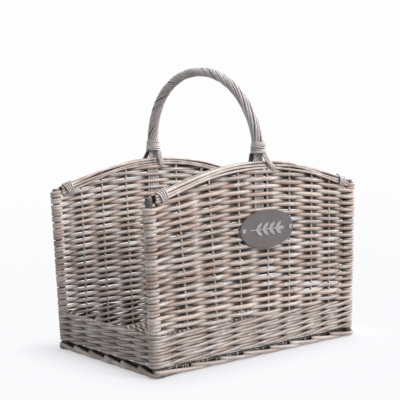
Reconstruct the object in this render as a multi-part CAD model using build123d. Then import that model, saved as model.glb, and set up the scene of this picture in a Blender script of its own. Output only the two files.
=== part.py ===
from build123d import *
import math
import os

# Open-ended willow log basket. Millimetres, +Z up, origin on the floor under the middle of the basket.
# X runs along the two tall side walls, Y across the two low open ends.

# Overall size
foot_length = 500.0          # outside of the foot border, along X
foot_width = 326.0           # outside of the foot border, along Y
corner_height = 316.0        # floor to the cut top of a corner post
end_splay = 9.2              # how far each post leans out along X over the corner height
side_splay = 4.3             # how far each tall wall leans out along Y over the corner height

# Rods and sticks
post_diameter = 13.0
post_bottom = 2.0            # the posts stop just short of the floor, inside the foot border
stake_diameter = 5.0
rim_rod_diameter = 5.0
rim_rod_pitch = 5.1
liner_diameter = 4.2
base_stick_diameter = 7.0

# Walls
wrap_radius = 12.0           # a post with the weavers turned round it
weave_thickness = 17.0       # stake plus one rod on each side
wale_thickness = 18.0
foot_height = 14.0
foot_depth = 20.0
wale_bottom = 18.0
wale_top = 74.5
post_wrap_top = 310.0
fit_gap = 0.2                # left between two courses that only rest on each other
stake_cover = 2.0            # how far below the waling's top the end stakes are cut
# Stakes of a tall wall, foot and top, from its middle to the right as seen from outside
side_stake_feet = (-164.0, -97.0, -41.0, 26.0, 78.0, 137.0, 187.0)
side_stake_tops = (-185.0, -116.0, -47.0, 24.6, 82.0, 141.0, 189.0)
end_stake_pitch = 54.0
end_stakes_each_way = 2

# Arched rim of a tall wall
rim_end_height = 318.0       # rim top beside a corner post
rim_end_slope = 0.293        # rise over run of the straight stretch from the post
rim_arc_half_width = 150.0   # half the run of the curved middle stretch
rim_rods_each_face = 3
rim_join_x = 19.0            # where the rods from the two posts meet
rim_post_gap = 1.2           # left between a rim rod's end and its post
rim_face_gap = 0.05          # left between the stakes and the rim rods
stake_top_drop = 4.0         # how far below the rim top the stakes are cut

# Base
base_bottom = 12.0
base_thickness = 16.0
base_half_length = 229.2
base_half_width = 142.1
base_stick_pitch = 33.0
base_sticks_each_way = 4

# Corner bindings
binding_place = 219.0        # along the wall from its middle
binding_width = 20.0
binding_depth = 23.5
binding_height = 23.5
binding_edge_radius = 6.0

# Handle
handle_foot_height = 386.0
handle_top_height = 536.0    # centreline
handle_crown_radius = 185.0
handle_core_diameter = 9.0
handle_diameter = 18.5
handle_lean = 3.4            # degrees, towards -X
front_foot_x = 4.0
back_foot_x = -10.0
foot_binding_bottom = 378.0
foot_binding_top = 404.0
foot_binding_low_radius = 15.5
foot_binding_high_radius = 12.5
liner_offsets = (-9.3, -4.7, 0.0, 4.7, 9.3)
liner_bottom = 258.0
strap_strands = 3
strap_diameter = 3.4
strap_pitch = 3.6
strap_bend_radius = 5.0
strap_tuck = 4.2             # how near the wall's middle a strap ends, under the rim
strap_rest_gap = 0.3         # left between a strap and the rim rods that it crosses
strap_under_gap = 2.2
outer_strap_run = (5.0, 28.0)      # start and end, from the foot's middle
inner_strap_run = (-7.0, -13.0)

# Name plate
plate_x = 16.0
plate_height = 239.0
plate_half_length = 66.5
plate_half_height = 36.0
plate_thickness = 1.6
plate_edge_chamfer = 0.5
plate_hole_offset = 58.0
plate_hole_radius = 2.6
eyelet_radius = 4.0
eyelet_bore = 2.1
eyelet_flange = 0.9
eyelet_clearance = 0.05
wire_diameter = 1.3
wire_clearance = 0.2
tie_stand = 1.2              # how far a tie stands off the plate's face
tie_reach = 6.0              # how far its legs go into the weave
tie_bend_radius = 0.9
relief_height = 0.9
sprig_length = 86.0
stem_width = 2.2
stem_overlap = 2.0           # how far the stem runs into the end leaf
first_leaf_gap = 5.0         # from the end leaf to the first pair
leaf_pairs = 4
leaf_pitch = 16.0
leaf_length = 19.0
leaf_width = 7.0
leaf_angle = 38.0

# Reach of the plain solids that only cut others
through_length = 10.0
half_space = 600.0

# Worked out from the sizes above
post_x = foot_length / 2 - wrap_radius
post_y = foot_width / 2 - wrap_radius
end_lean = math.atan(end_splay / corner_height)
side_lean = math.atan(side_splay / corner_height)
rim_angle = math.atan(rim_end_slope)
rim_radius = rim_arc_half_width / math.sin(rim_angle)
rim_depth = rim_rods_each_face * rim_rod_pitch
rim_face_offset = stake_diameter / 2 + rim_rod_diameter / 2 + rim_face_gap
weave_corner = rim_end_height - rim_depth - fit_gap
stake_bottom = foot_height + fit_gap
rim_end_x = post_x + end_splay - post_diameter / 2 - rim_post_gap

# The front wall's own frame: x along the wall, y up its slope, z outwards
front_wall = Plane(
    origin=(0, -post_y, 0),
    x_dir=(1, 0, 0),
    z_dir=(0, -math.cos(side_lean), -math.sin(side_lean)),
)
# The same for the left end, seen from outside
left_end = Plane(
    origin=(-post_x, 0, 0),
    x_dir=(0, -1, 0),
    z_dir=(-math.cos(end_lean), 0, -math.sin(end_lean)),
)


def round_rod(start, end, diameter):
    """A straight round rod from one point to another."""
    run = Vector(*end) - Vector(*start)
    return extrude(Plane(origin=start, z_dir=run) * Circle(diameter / 2), run.length)


def bent_rod(path, diameter):
    """A round rod along a path of lines and tangent arcs."""
    return sweep(Plane(origin=path @ 0, z_dir=path % 0) * Circle(diameter / 2), path=path)


def group(shapes):
    """Separate solids kept together in one node."""
    return Compound(children=[solid for shape in shapes for solid in shape.solids()])


def half_turn(shape):
    """The matching piece on the opposite side of the basket."""
    return shape.rotate(Axis.Z, 180)


def post_line(side, height):
    """Where a front post's axis is, in the front wall's frame."""
    return (side * (post_x + end_splay * height / corner_height), height, 0)


def front_post(side):
    return round_rod(post_line(side, post_bottom), post_line(side, corner_height), post_diameter)


def front_post_sleeve(side, low, high):
    """The full round column of a wrapped front post."""
    return round_rod(post_line(side, low), post_line(side, high), 2 * wrap_radius)


def rim_line(drop):
    """The arched line of the rim top, lowered by a drop, in the wall's frame."""
    low = rim_end_height - drop
    peak = low + rim_end_x * rim_end_slope
    return FilletPolyline((-rim_end_x, low), (0, peak), (rim_end_x, low), radius=rim_radius)


def rim_height(x):
    """Height of the rim top over one point of the wall."""
    run = abs(x)
    shoulder = rim_end_height + (rim_end_x - rim_arc_half_width) * rim_end_slope
    if run > rim_arc_half_width:
        return rim_end_height + (rim_end_x - run) * rim_end_slope
    drop_to_centre = rim_radius * math.cos(rim_angle)
    return shoulder + math.sqrt(rim_radius**2 - run**2) - drop_to_centre


def side_stakes():
    """Upright stakes of a tall wall."""
    stakes = []
    for low_x, high_x in zip(side_stake_feet, side_stake_tops):
        top = rim_height(high_x) - stake_top_drop
        stakes.append(round_rod((low_x, stake_bottom, 0), (high_x, top, 0), stake_diameter))
    return group(stakes)


def end_stakes():
    """Short upright stakes of a low end."""
    stakes = []
    for index in range(-end_stakes_each_way, end_stakes_each_way + 1):
        place = index * end_stake_pitch
        stakes.append(round_rod((place, stake_bottom, 0), (place, wale_top - stake_cover, 0), stake_diameter))
    return group(stakes)


def handle_liners(foot_x):
    """Rods side by side that carry the handle's pull down into the wall."""
    rods = []
    for offset in liner_offsets:
        x = foot_x + offset
        rods.append(round_rod((x, liner_bottom, 0), (x, handle_foot_height - fit_gap, 0), liner_diameter))
    return group(rods)


def side_wale():
    """Low band of heavy waling on a tall wall, rounded round both posts."""
    corners = [post_line(side, height)[:2] for side, height in
               ((-1, wale_bottom), (1, wale_bottom), (1, wale_top), (-1, wale_top))]
    band = extrude(make_face(Polyline(*corners, close=True)), wale_thickness / 2, both=True)
    for side in (-1, 1):
        band += front_post_sleeve(side, wale_bottom, wale_top)
    return band


def end_wale():
    """Low band of waling across an open end, up to the two corners."""
    low_y = post_y + side_splay * wale_bottom / corner_height
    high_y = post_y + side_splay * wale_top / corner_height
    outline = Polyline((-low_y, wale_bottom), (low_y, wale_bottom),
                       (high_y, wale_top), (-high_y, wale_top), close=True)
    return extrude(make_face(outline), wale_thickness / 2, both=True)


def side_weave():
    """Tall woven panel between the posts, with its arched top under the rim."""
    top = rim_line(rim_depth + fit_gap)
    low_left = post_line(-1, wale_top + fit_gap)[:2]
    low_right = post_line(1, wale_top + fit_gap)[:2]
    high_left = post_line(-1, weave_corner)[:2]
    high_right = post_line(1, weave_corner)[:2]
    outline = top + Polyline(top @ 1, high_right, low_right, low_left, high_left, top @ 0)
    return extrude(make_face(outline), weave_thickness / 2, both=True)


def rim_rods():
    """Three long rods on each face of the wall, following the arch."""
    rods = []
    for face in (-1, 1):
        for row in range(rim_rods_each_face):
            line = rim_line((row + 0.5) * rim_rod_pitch)
            rods.append(Pos(0, 0, face * rim_face_offset) * bent_rod(line, rim_rod_diameter))
    return rods


def rim_half(side):
    """The rods that come from one post and end at the handle's foot."""
    middle = rim_join_x + side * (half_space + fit_gap) / 2
    keep = Pos(middle, half_space / 2, 0) * Box(half_space, half_space, half_space)
    return group([rod & keep for rod in rim_rods()])


def corner_binding(side):
    """Turns of split rod round the rim bundle and the weave's top beside a post."""
    centre = side * binding_place
    top = rim_height(centre) + (binding_height - rim_depth) / 2
    place = Pos(centre, top - binding_height / 2, 0) * Rot(0, 0, -side * math.degrees(rim_angle))
    block = Box(binding_width, binding_height, binding_depth)
    block = fillet(block.edges().filter_by(Axis.X), radius=binding_edge_radius)
    return place * block


def handle_plane():
    """The plane of the hoop, through both feet and leaning to one end."""
    foot_y = post_y + side_splay * handle_foot_height / corner_height
    along = Vector(back_foot_x - front_foot_x, 2 * foot_y, 0)
    across = along.cross(Vector(0, 0, 1)).rotate(Axis((0, 0, 0), along), -handle_lean)
    middle = ((front_foot_x + back_foot_x) / 2, 0, handle_foot_height)
    return Plane(origin=middle, x_dir=along, z_dir=across), along.length / 2


def handle_line():
    """Centreline of the hoop: a flatter crown between two round shoulders."""
    plane, half_span = handle_plane()
    rise = handle_top_height - handle_foot_height
    crown_drop = handle_crown_radius - rise
    shoulder_radius = (handle_crown_radius**2 - half_span**2 - crown_drop**2) / (
        2 * (handle_crown_radius - half_span))
    shoulder_x = half_span - shoulder_radius
    turn = math.degrees(math.atan2(crown_drop, shoulder_x))
    front = CenterArc((-shoulder_x, 0), shoulder_radius, 180, -turn)
    crown = CenterArc((0, -crown_drop), handle_crown_radius, 180 - turn, 2 * turn - 180)
    back = CenterArc((shoulder_x, 0), shoulder_radius, turn, -turn)
    return plane * (front + crown + back)


def foot_binding(foot_x):
    """The tapered block of turns that holds a foot of the handle, in the wall's frame."""
    height = foot_binding_top - foot_binding_bottom
    cone = Cone(foot_binding_low_radius, foot_binding_high_radius, height)
    middle = (foot_binding_top + foot_binding_bottom) / 2
    return Pos(foot_x, middle, 0) * Rot(-90, 0, 0) * cone


def strap(foot_x, shift, run, face):
    """One strand from the foot binding down over the rim, bent in under it, on one face of the wall."""
    out = face * (rim_face_offset + rim_rod_diameter / 2 + strap_diameter / 2 + strap_rest_gap)
    under = rim_height(foot_x) - rim_depth - strap_diameter / 2 - strap_under_gap
    start, end = run[0] + foot_x + shift, run[1] + foot_x + shift
    path = FilletPolyline(
        (start, foot_binding_bottom - fit_gap, out), (end, under, out), (end, under, face * strap_tuck),
        radius=strap_bend_radius,
    )
    return bent_rod(path, strap_diameter)


def handle_straps(foot_x):
    """Flat bands of split rods, one outside and one inside."""
    rods = []
    for index in range(strap_strands):
        shift = (index - (strap_strands - 1) / 2) * strap_pitch
        rods.append(strap(foot_x, shift, outer_strap_run, 1))
        rods.append(strap(foot_x, shift, inner_strap_run, -1))
    return group(rods)


def plate_frame():
    """Centre of the name plate's back, on the outside of the front weave."""
    return Pos(plate_x, plate_height, weave_thickness / 2 + fit_gap)


def name_plate():
    """Oval sheet-metal plate with a hole near each end."""
    plate = extrude(Ellipse(plate_half_length, plate_half_height), plate_thickness)
    plate = chamfer(plate.edges().group_by(Axis.Z)[-1], plate_edge_chamfer)
    for side in (-1, 1):
        plate -= Pos(side * plate_hole_offset, 0, 0) * Cylinder(plate_hole_radius, through_length)
    return plate_frame() * plate


def plate_eyelets():
    """A turned ring in each hole of the plate."""
    ring = Cylinder(plate_hole_radius - eyelet_clearance, plate_thickness)
    ring += Pos(0, 0, (plate_thickness + eyelet_flange) / 2) * Cylinder(eyelet_radius, eyelet_flange)
    ring -= Cylinder(eyelet_bore, through_length)
    lift = plate_thickness / 2
    return group([plate_frame() * Pos(side * plate_hole_offset, 0, lift) * ring for side in (-1, 1)])


def plate_ties():
    """A wire staple through each eyelet, reaching into the weave behind."""
    ties = []
    spread = eyelet_bore - wire_diameter / 2 - wire_clearance
    front = plate_thickness + tie_stand
    for side in (-1, 1):
        middle = side * plate_hole_offset
        loop = FilletPolyline(
            (middle, -spread, -tie_reach), (middle, -spread, front),
            (middle, spread, front), (middle, spread, -tie_reach),
            radius=tie_bend_radius,
        )
        ties.append(plate_frame() * bent_rod(loop, wire_diameter))
    return group(ties)


def leaf(angle):
    """One pointed leaf, from its stalk at the origin."""
    side = ThreePointArc((0, 0), (leaf_length / 2, leaf_width / 2), (leaf_length, 0))
    other = ThreePointArc((leaf_length, 0), (leaf_length / 2, -leaf_width / 2), (0, 0))
    return Rot(0, 0, angle) * make_face(side + other)


def plate_sprig():
    """A plain raised sprig of leaves across the plate."""
    tip = sprig_length / 2
    end_leaf = tip - leaf_length
    stem = end_leaf + tip + stem_overlap
    motif = Pos(stem / 2 - tip, 0) * SlotOverall(stem, stem_width)
    motif += Pos(end_leaf, 0) * leaf(0)
    for index in range(leaf_pairs):
        place = end_leaf - first_leaf_gap - index * leaf_pitch
        motif += Pos(place, 0) * leaf(leaf_angle)
        motif += Pos(place, 0) * leaf(-leaf_angle)
    return plate_frame() * Pos(0, 0, plate_thickness) * extrude(motif, relief_height)


def base_sticks():
    """Long sticks that the base rods are woven across."""
    sticks = []
    height = base_bottom + base_thickness / 2
    for index in range(-base_sticks_each_way, base_sticks_each_way + 1):
        y = index * base_stick_pitch
        sticks.append(round_rod((-base_half_length, y, height), (base_half_length, y, height),
                                base_stick_diameter))
    return group(sticks)


def base_weave():
    height = base_bottom + base_thickness / 2
    return Pos(0, 0, height) * Box(2 * base_half_length, 2 * base_half_width, base_thickness)


def side_foot_border():
    """Rolled border under a tall wall, rounded at both corners, in the basket's frame."""
    middle_y = (foot_depth - foot_width) / 2
    border = Pos(0, middle_y, foot_height / 2) * Box(2 * post_x, foot_depth, foot_height)
    for side in (-1, 1):
        border += Pos(side * post_x, -post_y, foot_height / 2) * Cylinder(wrap_radius, foot_height)
    return border


def end_foot_border():
    middle_x = (foot_depth - foot_length) / 2
    return Pos(middle_x, 0, foot_height / 2) * Box(foot_depth, 2 * post_y, foot_height)


def on_front_wall(shape):
    return front_wall.location * shape


def on_back_wall(shape):
    return half_turn(front_wall.location * shape)


def cut(shape, tools):
    """Takes several pieces' room out of another piece."""
    for tool in tools:
        shape = shape - tool
    return shape


def build():
    """Every node of the basket, by name."""
    nodes = {}

    posts = {side: on_front_wall(front_post(side)) for side in (-1, 1)}
    wraps = {side: front_post_sleeve(side, wale_top + fit_gap, post_wrap_top) for side in (-1, 1)}
    bindings = {side: corner_binding(side) for side in (-1, 1)}
    halves = {side: rim_half(side) for side in (-1, 1)}
    feet = {"front": front_foot_x, "back": -back_foot_x}
    hoop = handle_line()
    core = bent_rod(hoop, handle_core_diameter)
    wrap = bent_rod(hoop, handle_diameter)
    nodes["handle_core"] = core
    nodes["handle_roped_wrap"] = wrap - core

    for name, foot_x in feet.items():
        place = on_front_wall if name == "front" else on_back_wall
        stakes = side_stakes()
        liners = handle_liners(foot_x)
        straps = handle_straps(foot_x)
        columns = [front_post_sleeve(side, wale_bottom, rim_end_height) for side in (-1, 1)]
        weave = cut(side_weave(), columns + [side_wale(), stakes, liners, straps])
        weave = cut(weave, [bindings[-1], bindings[1]])
        if name == "front":
            ties = plate_ties()
            weave = cut(weave, [ties])
            nodes["name_plate"] = place(name_plate())
            nodes["plate_eyelets"] = place(plate_eyelets())
            nodes["plate_wire_ties"] = place(ties)
            nodes["plate_sprig"] = place(plate_sprig())
        nodes["side_weave_" + name] = place(weave)
        nodes["stakes_" + name] = place(stakes)
        nodes["handle_liners_" + name] = place(liners)
        nodes["handle_straps_" + name] = place(straps)
        binding = place(cut(foot_binding(foot_x), [liners, stakes]))
        nodes["handle_binding_" + name] = binding - wrap

        corners = {"left": -1, "right": 1} if name == "front" else {"right": -1, "left": 1}
        wale = cut(side_wale(), [front_post(-1), front_post(1), stakes])
        nodes["wale_" + name] = place(wale)
        for end, side in corners.items():
            corner = name + "_" + end
            nodes["post_" + corner] = place(front_post(side))
            nodes["post_wrap_" + corner] = place(cut(wraps[side], [front_post(side), halves[side]]))
            nodes["rim_rods_" + corner] = place(halves[side])
            around = cut(bindings[side], [halves[side], stakes])
            nodes["corner_binding_" + corner] = place(around)

    border = cut(side_foot_border(), [posts[-1], posts[1]])
    nodes["foot_border_front"] = border
    nodes["foot_border_back"] = half_turn(border)
    nodes["foot_border_left"] = cut(end_foot_border(), [side_foot_border(), half_turn(side_foot_border())])
    nodes["foot_border_right"] = half_turn(nodes["foot_border_left"])

    short_stakes = left_end.location * end_stakes()
    corners = on_front_wall(side_wale())
    left_posts = [nodes["post_front_left"], nodes["post_back_left"]]
    low_end = cut(left_end.location * end_wale(), [corners, half_turn(corners), short_stakes] + left_posts)
    nodes["wale_left"] = low_end
    nodes["wale_right"] = half_turn(low_end)
    nodes["stakes_left"] = short_stakes
    nodes["stakes_right"] = half_turn(short_stakes)

    sticks = base_sticks()
    nodes["base_sticks"] = sticks
    nodes["base_weave"] = cut(base_weave(), [sticks])
    return nodes


os.makedirs("parts", exist_ok=True)
for node, shape in build().items():
    export_step(shape, "parts/" + node + ".step")
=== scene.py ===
import math
import random

import bpy
import numpy as np
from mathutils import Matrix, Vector


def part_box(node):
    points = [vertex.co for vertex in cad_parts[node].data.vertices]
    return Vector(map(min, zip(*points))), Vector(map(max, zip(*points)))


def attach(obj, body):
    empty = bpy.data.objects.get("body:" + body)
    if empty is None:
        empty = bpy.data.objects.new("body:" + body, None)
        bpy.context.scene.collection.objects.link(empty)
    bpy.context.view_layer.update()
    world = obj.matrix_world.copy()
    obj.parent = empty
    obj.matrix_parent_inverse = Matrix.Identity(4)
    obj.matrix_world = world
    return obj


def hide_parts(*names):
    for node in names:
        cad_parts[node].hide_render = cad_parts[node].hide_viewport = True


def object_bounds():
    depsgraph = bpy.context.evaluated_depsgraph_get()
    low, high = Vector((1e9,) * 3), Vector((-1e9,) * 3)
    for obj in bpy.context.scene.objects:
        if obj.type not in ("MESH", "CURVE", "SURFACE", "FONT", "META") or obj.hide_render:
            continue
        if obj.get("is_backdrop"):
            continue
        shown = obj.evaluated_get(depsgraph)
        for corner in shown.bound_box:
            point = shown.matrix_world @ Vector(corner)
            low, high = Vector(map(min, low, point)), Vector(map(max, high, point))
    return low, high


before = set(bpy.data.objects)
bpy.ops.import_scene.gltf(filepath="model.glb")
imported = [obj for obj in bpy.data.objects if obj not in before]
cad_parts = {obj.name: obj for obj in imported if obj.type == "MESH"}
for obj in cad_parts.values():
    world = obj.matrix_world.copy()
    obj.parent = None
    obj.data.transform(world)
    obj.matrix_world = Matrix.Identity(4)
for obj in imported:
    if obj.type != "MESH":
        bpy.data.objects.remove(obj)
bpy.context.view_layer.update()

# Open-ended willow log basket. Sizes in the dictionaries are millimetres, and the frame gives the places.
# Each rod is a line that bends in and out of the stakes, with a round or pressed section swept along it.
mm = 0.001
draw = random.Random(20)
bpy.ops.object.select_all(action="DESELECT")
print("basket: frame loaded with", len(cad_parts), "nodes")


def boxOf(node):
    low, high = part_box(node)
    return np.array(low) / mm, np.array(high) / mm


def unit(v):
    return v / np.linalg.norm(v)


# where the posts, stakes and walls are, read from the frame
basket = {
    "postRadius": 6.5, "stakeRadius": 2.5,
    # foot and top of each stake of a tall wall, from its middle to the right as seen from outside
    "stakeFeet": (-164.0, -97.0, -41.0, 26.0, 78.0, 137.0, 187.0),
    "stakeTops": (-185.0, -116.0, -47.0, 24.6, 82.0, 141.0, 189.0),
    "sideStakes": 3,  # each way from the middle one
    "endStakes": 2,
    "stakeDrop": 4.0,  # how far below the rim top the stakes are cut
    "baseStickRadius": 3.5,
    "linerBottom": 258.0,  # the rods that carry the handle reach down to here
    "pressIn": 0.3,  # how far a woven rod presses into what it passes
}


def postAxis(node):
    # foot and top of a leaning post's axis; each post leans away from the basket's middle
    low, high = boxOf(node)
    away = np.sign(low + high)[:2]
    r = basket["postRadius"]
    near = np.where(away > 0, low[:2] + r, high[:2] - r)
    far = np.where(away > 0, high[:2] - r, low[:2] + r)
    return np.append(near, low[2]), np.append(far, high[2])


def wallBetween(leftPost, rightPost):
    # a wall's own directions, seen from outside: across to the right, up its slope, and out
    (leftFoot, leftTop), (rightFoot, rightTop) = postAxis(leftPost), postAxis(rightPost)
    across = unit(rightFoot - leftFoot)
    rise = unit((leftTop + rightTop) - (leftFoot + rightFoot))
    foot = (leftFoot + rightFoot) / 2
    wall = {"across": across, "up": rise, "out": np.cross(across, rise)}
    wall["origin"] = foot - rise * foot[2] / rise[2]
    height = leftTop[2] - leftFoot[2]
    half, halfTop = np.linalg.norm(rightFoot - leftFoot) / 2, np.linalg.norm(rightTop - leftTop) / 2
    wall["splay"] = (halfTop - half) / height
    wall["half"] = half - wall["splay"] * leftFoot[2]
    return wall


def onWall(wall, across, up, out):
    across, up, out = np.broadcast_arrays(*(np.asarray(v, float) for v in (across, up, out)))
    return (wall["origin"] + across[..., None] * wall["across"] + up[..., None] * wall["up"]
            + out[..., None] * wall["out"])


walls = {
    "front": wallBetween("post_front_left", "post_front_right"),
    "right": wallBetween("post_front_right", "post_back_right"),
    "back": wallBetween("post_back_right", "post_back_left"),
    "left": wallBetween("post_back_left", "post_front_left"),
}
cornerHeight = boxOf("post_front_left")[1][2]
for wallName in ("front", "back"):
    wall = walls[wallName]
    low, high = boxOf("handle_binding_" + wallName)
    wall["footX"] = float(((low + high) / 2 - wall["origin"]) @ wall["across"])
    wall["footZ"] = low[2]
for wallName in ("left", "right"):
    wall = walls[wallName]
    low, high = boxOf("stakes_" + wallName)
    stakeHalf = abs((high - low) @ wall["across"]) / 2 - basket["stakeRadius"]
    wall["stakePitch"] = stakeHalf / basket["endStakes"]
stakeFoot = boxOf("stakes_left")[0][2]
waleBottom, waleTop = (corner[2] for corner in boxOf("wale_left"))

# rim line of a tall wall: straight from each post, and an arc over the middle
rimLine = {
    "endHeight": 318.0, "slope": 0.293, "arcHalf": 150.0,
    "endGap": 1.2,  # left between the rim and a post
    "rodRadius": 2.5, "rodPitch": 5.1,
    "rows": 3,  # rods on each face
    "faceOffset": 5.05,  # from the wall's middle to the rods of a face
    "joinX": 19.0,  # where the rods of a half stop at the handle
    "step": 9.0,
}
rimEnd = walls["front"]["half"] + walls["front"]["splay"] * cornerHeight
rimEnd = rimEnd - basket["postRadius"] - rimLine["endGap"]
rimDepth = rimLine["rows"] * rimLine["rodPitch"]


def rimHeight(x):
    run = np.abs(np.asarray(x, float))
    slope, half = rimLine["slope"], rimLine["arcHalf"]
    radius = half / math.sin(math.atan(slope))
    shoulder = rimLine["endHeight"] + (rimEnd - half) * slope
    arc = shoulder + np.sqrt(np.maximum(radius**2 - run**2, 0)) - radius * math.cos(math.atan(slope))
    return np.where(run > half, rimLine["endHeight"] + (rimEnd - run) * slope, arc)


def rimAt(x):
    return float(rimHeight(x))


def stakeX(wallName, k, height):
    # where a stake is along its wall at a height; the tall walls' stakes are unevenly spaced and lean
    if "stakePitch" in walls[wallName]:
        return k * walls[wallName]["stakePitch"]
    low, high = (basket[key][k + basket["sideStakes"]] for key in ("stakeFeet", "stakeTops"))
    top = rimAt(high) - basket["stakeDrop"]
    return low + (high - low) * (height - stakeFoot) / (top - stakeFoot)


def steps(line):
    return np.linalg.norm(np.diff(line[:, :3], axis=0), axis=1)


def mix(first, second, start, end, t):
    return first * (end - t) / (end - start) + second * (t - start) / (end - start)


def bend(points, step, nearest=0.05):
    # smooth curve (centripetal Catmull-Rom) through the points, cut about every step; columns after x, y
    # and z are carried along, and a point that repeats the one before it is dropped
    p = np.asarray(points, float)
    p = p[np.append(True, steps(p) > nearest)]
    p = np.vstack([2 * p[0] - p[1], p, 2 * p[-1] - p[-2]])
    line = []
    for a, b, c, d in zip(p[:-3], p[1:-2], p[2:-1], p[3:]):
        t0, t1, t2, t3 = np.cumsum([0] + [max(np.linalg.norm((q - r)[:3]), 1e-6) ** 0.5
                                          for q, r in ((a, b), (b, c), (c, d))])
        count = max(1, round(np.linalg.norm((c - b)[:3]) / step))
        t = np.linspace(t1, t2, count, endpoint=False)[:, None]
        ab, bc, cd = mix(a, b, t0, t1, t), mix(b, c, t1, t2, t), mix(c, d, t2, t3, t)
        line.append(mix(mix(ab, bc, t0, t2, t), mix(bc, cd, t1, t3, t), t1, t2, t))
    return np.vstack(line + [p[-2:-1]])


def rod(line, radius, bare, dark, shadeFrom=0.2, bothSides=False, press=1.0, edge=0.0):
    # one rod: its line, its radius all along, a tone drawn for it, and the way that its bare side faces;
    # the sides that lie against other rods get painted shade, as far as dark says, and it is pressed oval
    line = np.asarray(line, float)
    radius = np.broadcast_to(np.asarray(radius, float), len(line)).copy()
    bare = np.broadcast_to(np.asarray(bare, float), (len(line), 3))
    return {"line": line[:, :3], "radius": radius, "tone": draw.random(), "bare": bare, "dark": dark,
            "shadeFrom": shadeFrom, "bothSides": bothSides, "press": press, "edge": edge}


def knobbly(line, amount, step=5):
    # slow change in thickness along a rod, as a natural shoot has
    knots = [1 + amount * (2 * draw.random() - 1) for _ in range(len(line) // step + 3)]
    return np.interp(np.arange(len(line)) / step, np.arange(len(knots)), knots)


sweep = {
    "ends": ((0.1, 0.93), (0.28, 0.72)),  # turned-in rings: how far past the end and how wide, in radii
    "endUv": 0.3,  # room that such a ring takes in the UV map
    "fullDark": -0.6,  # cosine to the bare way at which a side's painted shade is full
    "smooth": 50,  # degrees
}


def makeRods(name, rods, cfg, material, slotName, *nodes):
    # one piece that stands for the CAD nodes: a section swept along every rod's line, with turned-in ends;
    # the UV map runs in metres along and around, and every point carries its painted shade
    verts, faces, uvs, tones, paintedShades = [], [], [], [], []
    sides = cfg["sides"]
    angles = np.arange(sides) * 2 * math.pi / sides
    for item in rods:
        line, radius = item["line"], item["radius"]
        tangent = np.gradient(line, axis=0)
        tangent /= np.linalg.norm(tangent, axis=1)[:, None]
        side = np.cross(tangent[0], (0.3, 0.2, 1.0) if abs(tangent[0][2]) < 0.9 else (1.0, 0.2, 0.1))
        distance = np.concatenate([[0], np.cumsum(steps(line))])
        base, rings = len(verts), []
        around = np.linspace(0, 2 * math.pi * radius.mean(), sides + 1)
        for index, (spot, along) in enumerate(zip(line, tangent)):
            side = unit(side - along * (side @ along))
            other = np.cross(along, side)
            ring = np.outer(np.cos(angles), side) + np.outer(np.sin(angles), other)
            here = [(0, 1)]
            if index == 0:
                here = [(-past, share) for past, share in reversed(sweep["ends"])] + here
            if index == len(line) - 1:
                here += sweep["ends"]
            rings += [(spot + along * past * radius[index], radius[index] * share, index, ring)
                      for past, share in here]
        flat = np.zeros(3)
        for spot, size, index, ring in rings:
            bare = item["bare"][index]
            length = np.linalg.norm(bare)
            flat = bare / length if length > 0.1 else flat      # where no side is bare, the last one holds
            squeezed = ring - np.outer(ring @ flat, flat) * (1 - item["press"])
            verts.extend((spot + squeezed * size) * mm)
            tones.extend([item["tone"]] * sides)
            # painted shade: sides turned away from the bare way, and with edge the upper and lower sides,
            # are darkened to stand in for the shade between rods
            facing = np.abs(ring @ bare) if item["bothSides"] else ring @ bare
            span = item["shadeFrom"] - sweep["fullDark"]
            shade = np.clip((item["shadeFrom"] - facing) / span, 0, 1)
            if item["edge"]:
                shade = np.maximum(shade, np.clip(1 - np.abs(ring @ flat) / item["edge"], 0, 1))
            paintedShades.extend(shade * item["dark"])
        for r in range(len(rings) - 1):
            lowV, highV = distance[rings[r][2]] * mm, distance[rings[r + 1][2]] * mm
            if lowV == highV:
                highV += sweep["endUv"] * mm
            a, b = base + r * sides, base + (r + 1) * sides
            for s in range(sides):
                n = (s + 1) % sides
                faces.append((a + s, a + n, b + n, b + s))
                uvs += [(lowV, around[s] * mm), (lowV, around[s + 1] * mm),
                        (highV, around[s + 1] * mm), (highV, around[s] * mm)]
        last = base + (len(rings) - 1) * sides
        faces.append(tuple(base + s for s in reversed(range(sides))))
        faces.append(tuple(last + s for s in range(sides)))
        for end in (0.0, distance[-1] * mm):
            uvs += [(end, around[s] * mm) for s in range(sides)]
    mesh = bpy.data.meshes.new(name)
    mesh.from_pydata([tuple(v) for v in verts], [], faces)
    layer = mesh.uv_layers.new(name="rodUv")
    layer.data.foreach_set("uv", np.array(uvs, np.float32).ravel())
    for label, values in (("rodTone", tones), ("paintedShade", paintedShades)):
        mesh.attributes.new(label, "FLOAT", "POINT").data.foreach_set("value", np.array(values, np.float32))
    mesh.materials.append(material)
    piece = bpy.data.objects.new(name, mesh)
    bpy.context.scene.collection.objects.link(piece)
    bpy.ops.object.select_all(action="DESELECT")
    piece.select_set(True)
    bpy.context.view_layer.objects.active = piece
    bpy.ops.object.shade_smooth_by_angle(angle=math.radians(sweep["smooth"]))
    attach(piece, "root")
    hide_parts(*nodes)
    print(f"basket: {name} has {len(rods)} rods and {len(faces) * 2} triangles")


def hexColour(text):
    # sRGB hex to linear
    values = [int(text[i:i + 2], 16) / 255 for i in (1, 3, 5)]
    linear = [v / 12.92 if v <= 0.04045 else ((v + 0.055) / 1.055) ** 2.4 for v in values]
    return (*linear, 1.0)


def feed(tree, node, inputs):
    # a socket or a node's first live output is linked, and any other value is set on the input
    for key, value in inputs.items():
        if isinstance(value, bpy.types.Node):
            value = next(socket for socket in value.outputs if socket.enabled)
        if isinstance(value, bpy.types.NodeSocket):
            tree.links.new(value, node.inputs[key])
        else:
            node.inputs[key].default_value = value


def addNode(tree, kind, inputs=None, **settings):
    node = tree.nodes.new("ShaderNode" + kind)
    for key, value in settings.items():
        setattr(node, key, value)
    feed(tree, node, inputs or {})
    return node


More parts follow.
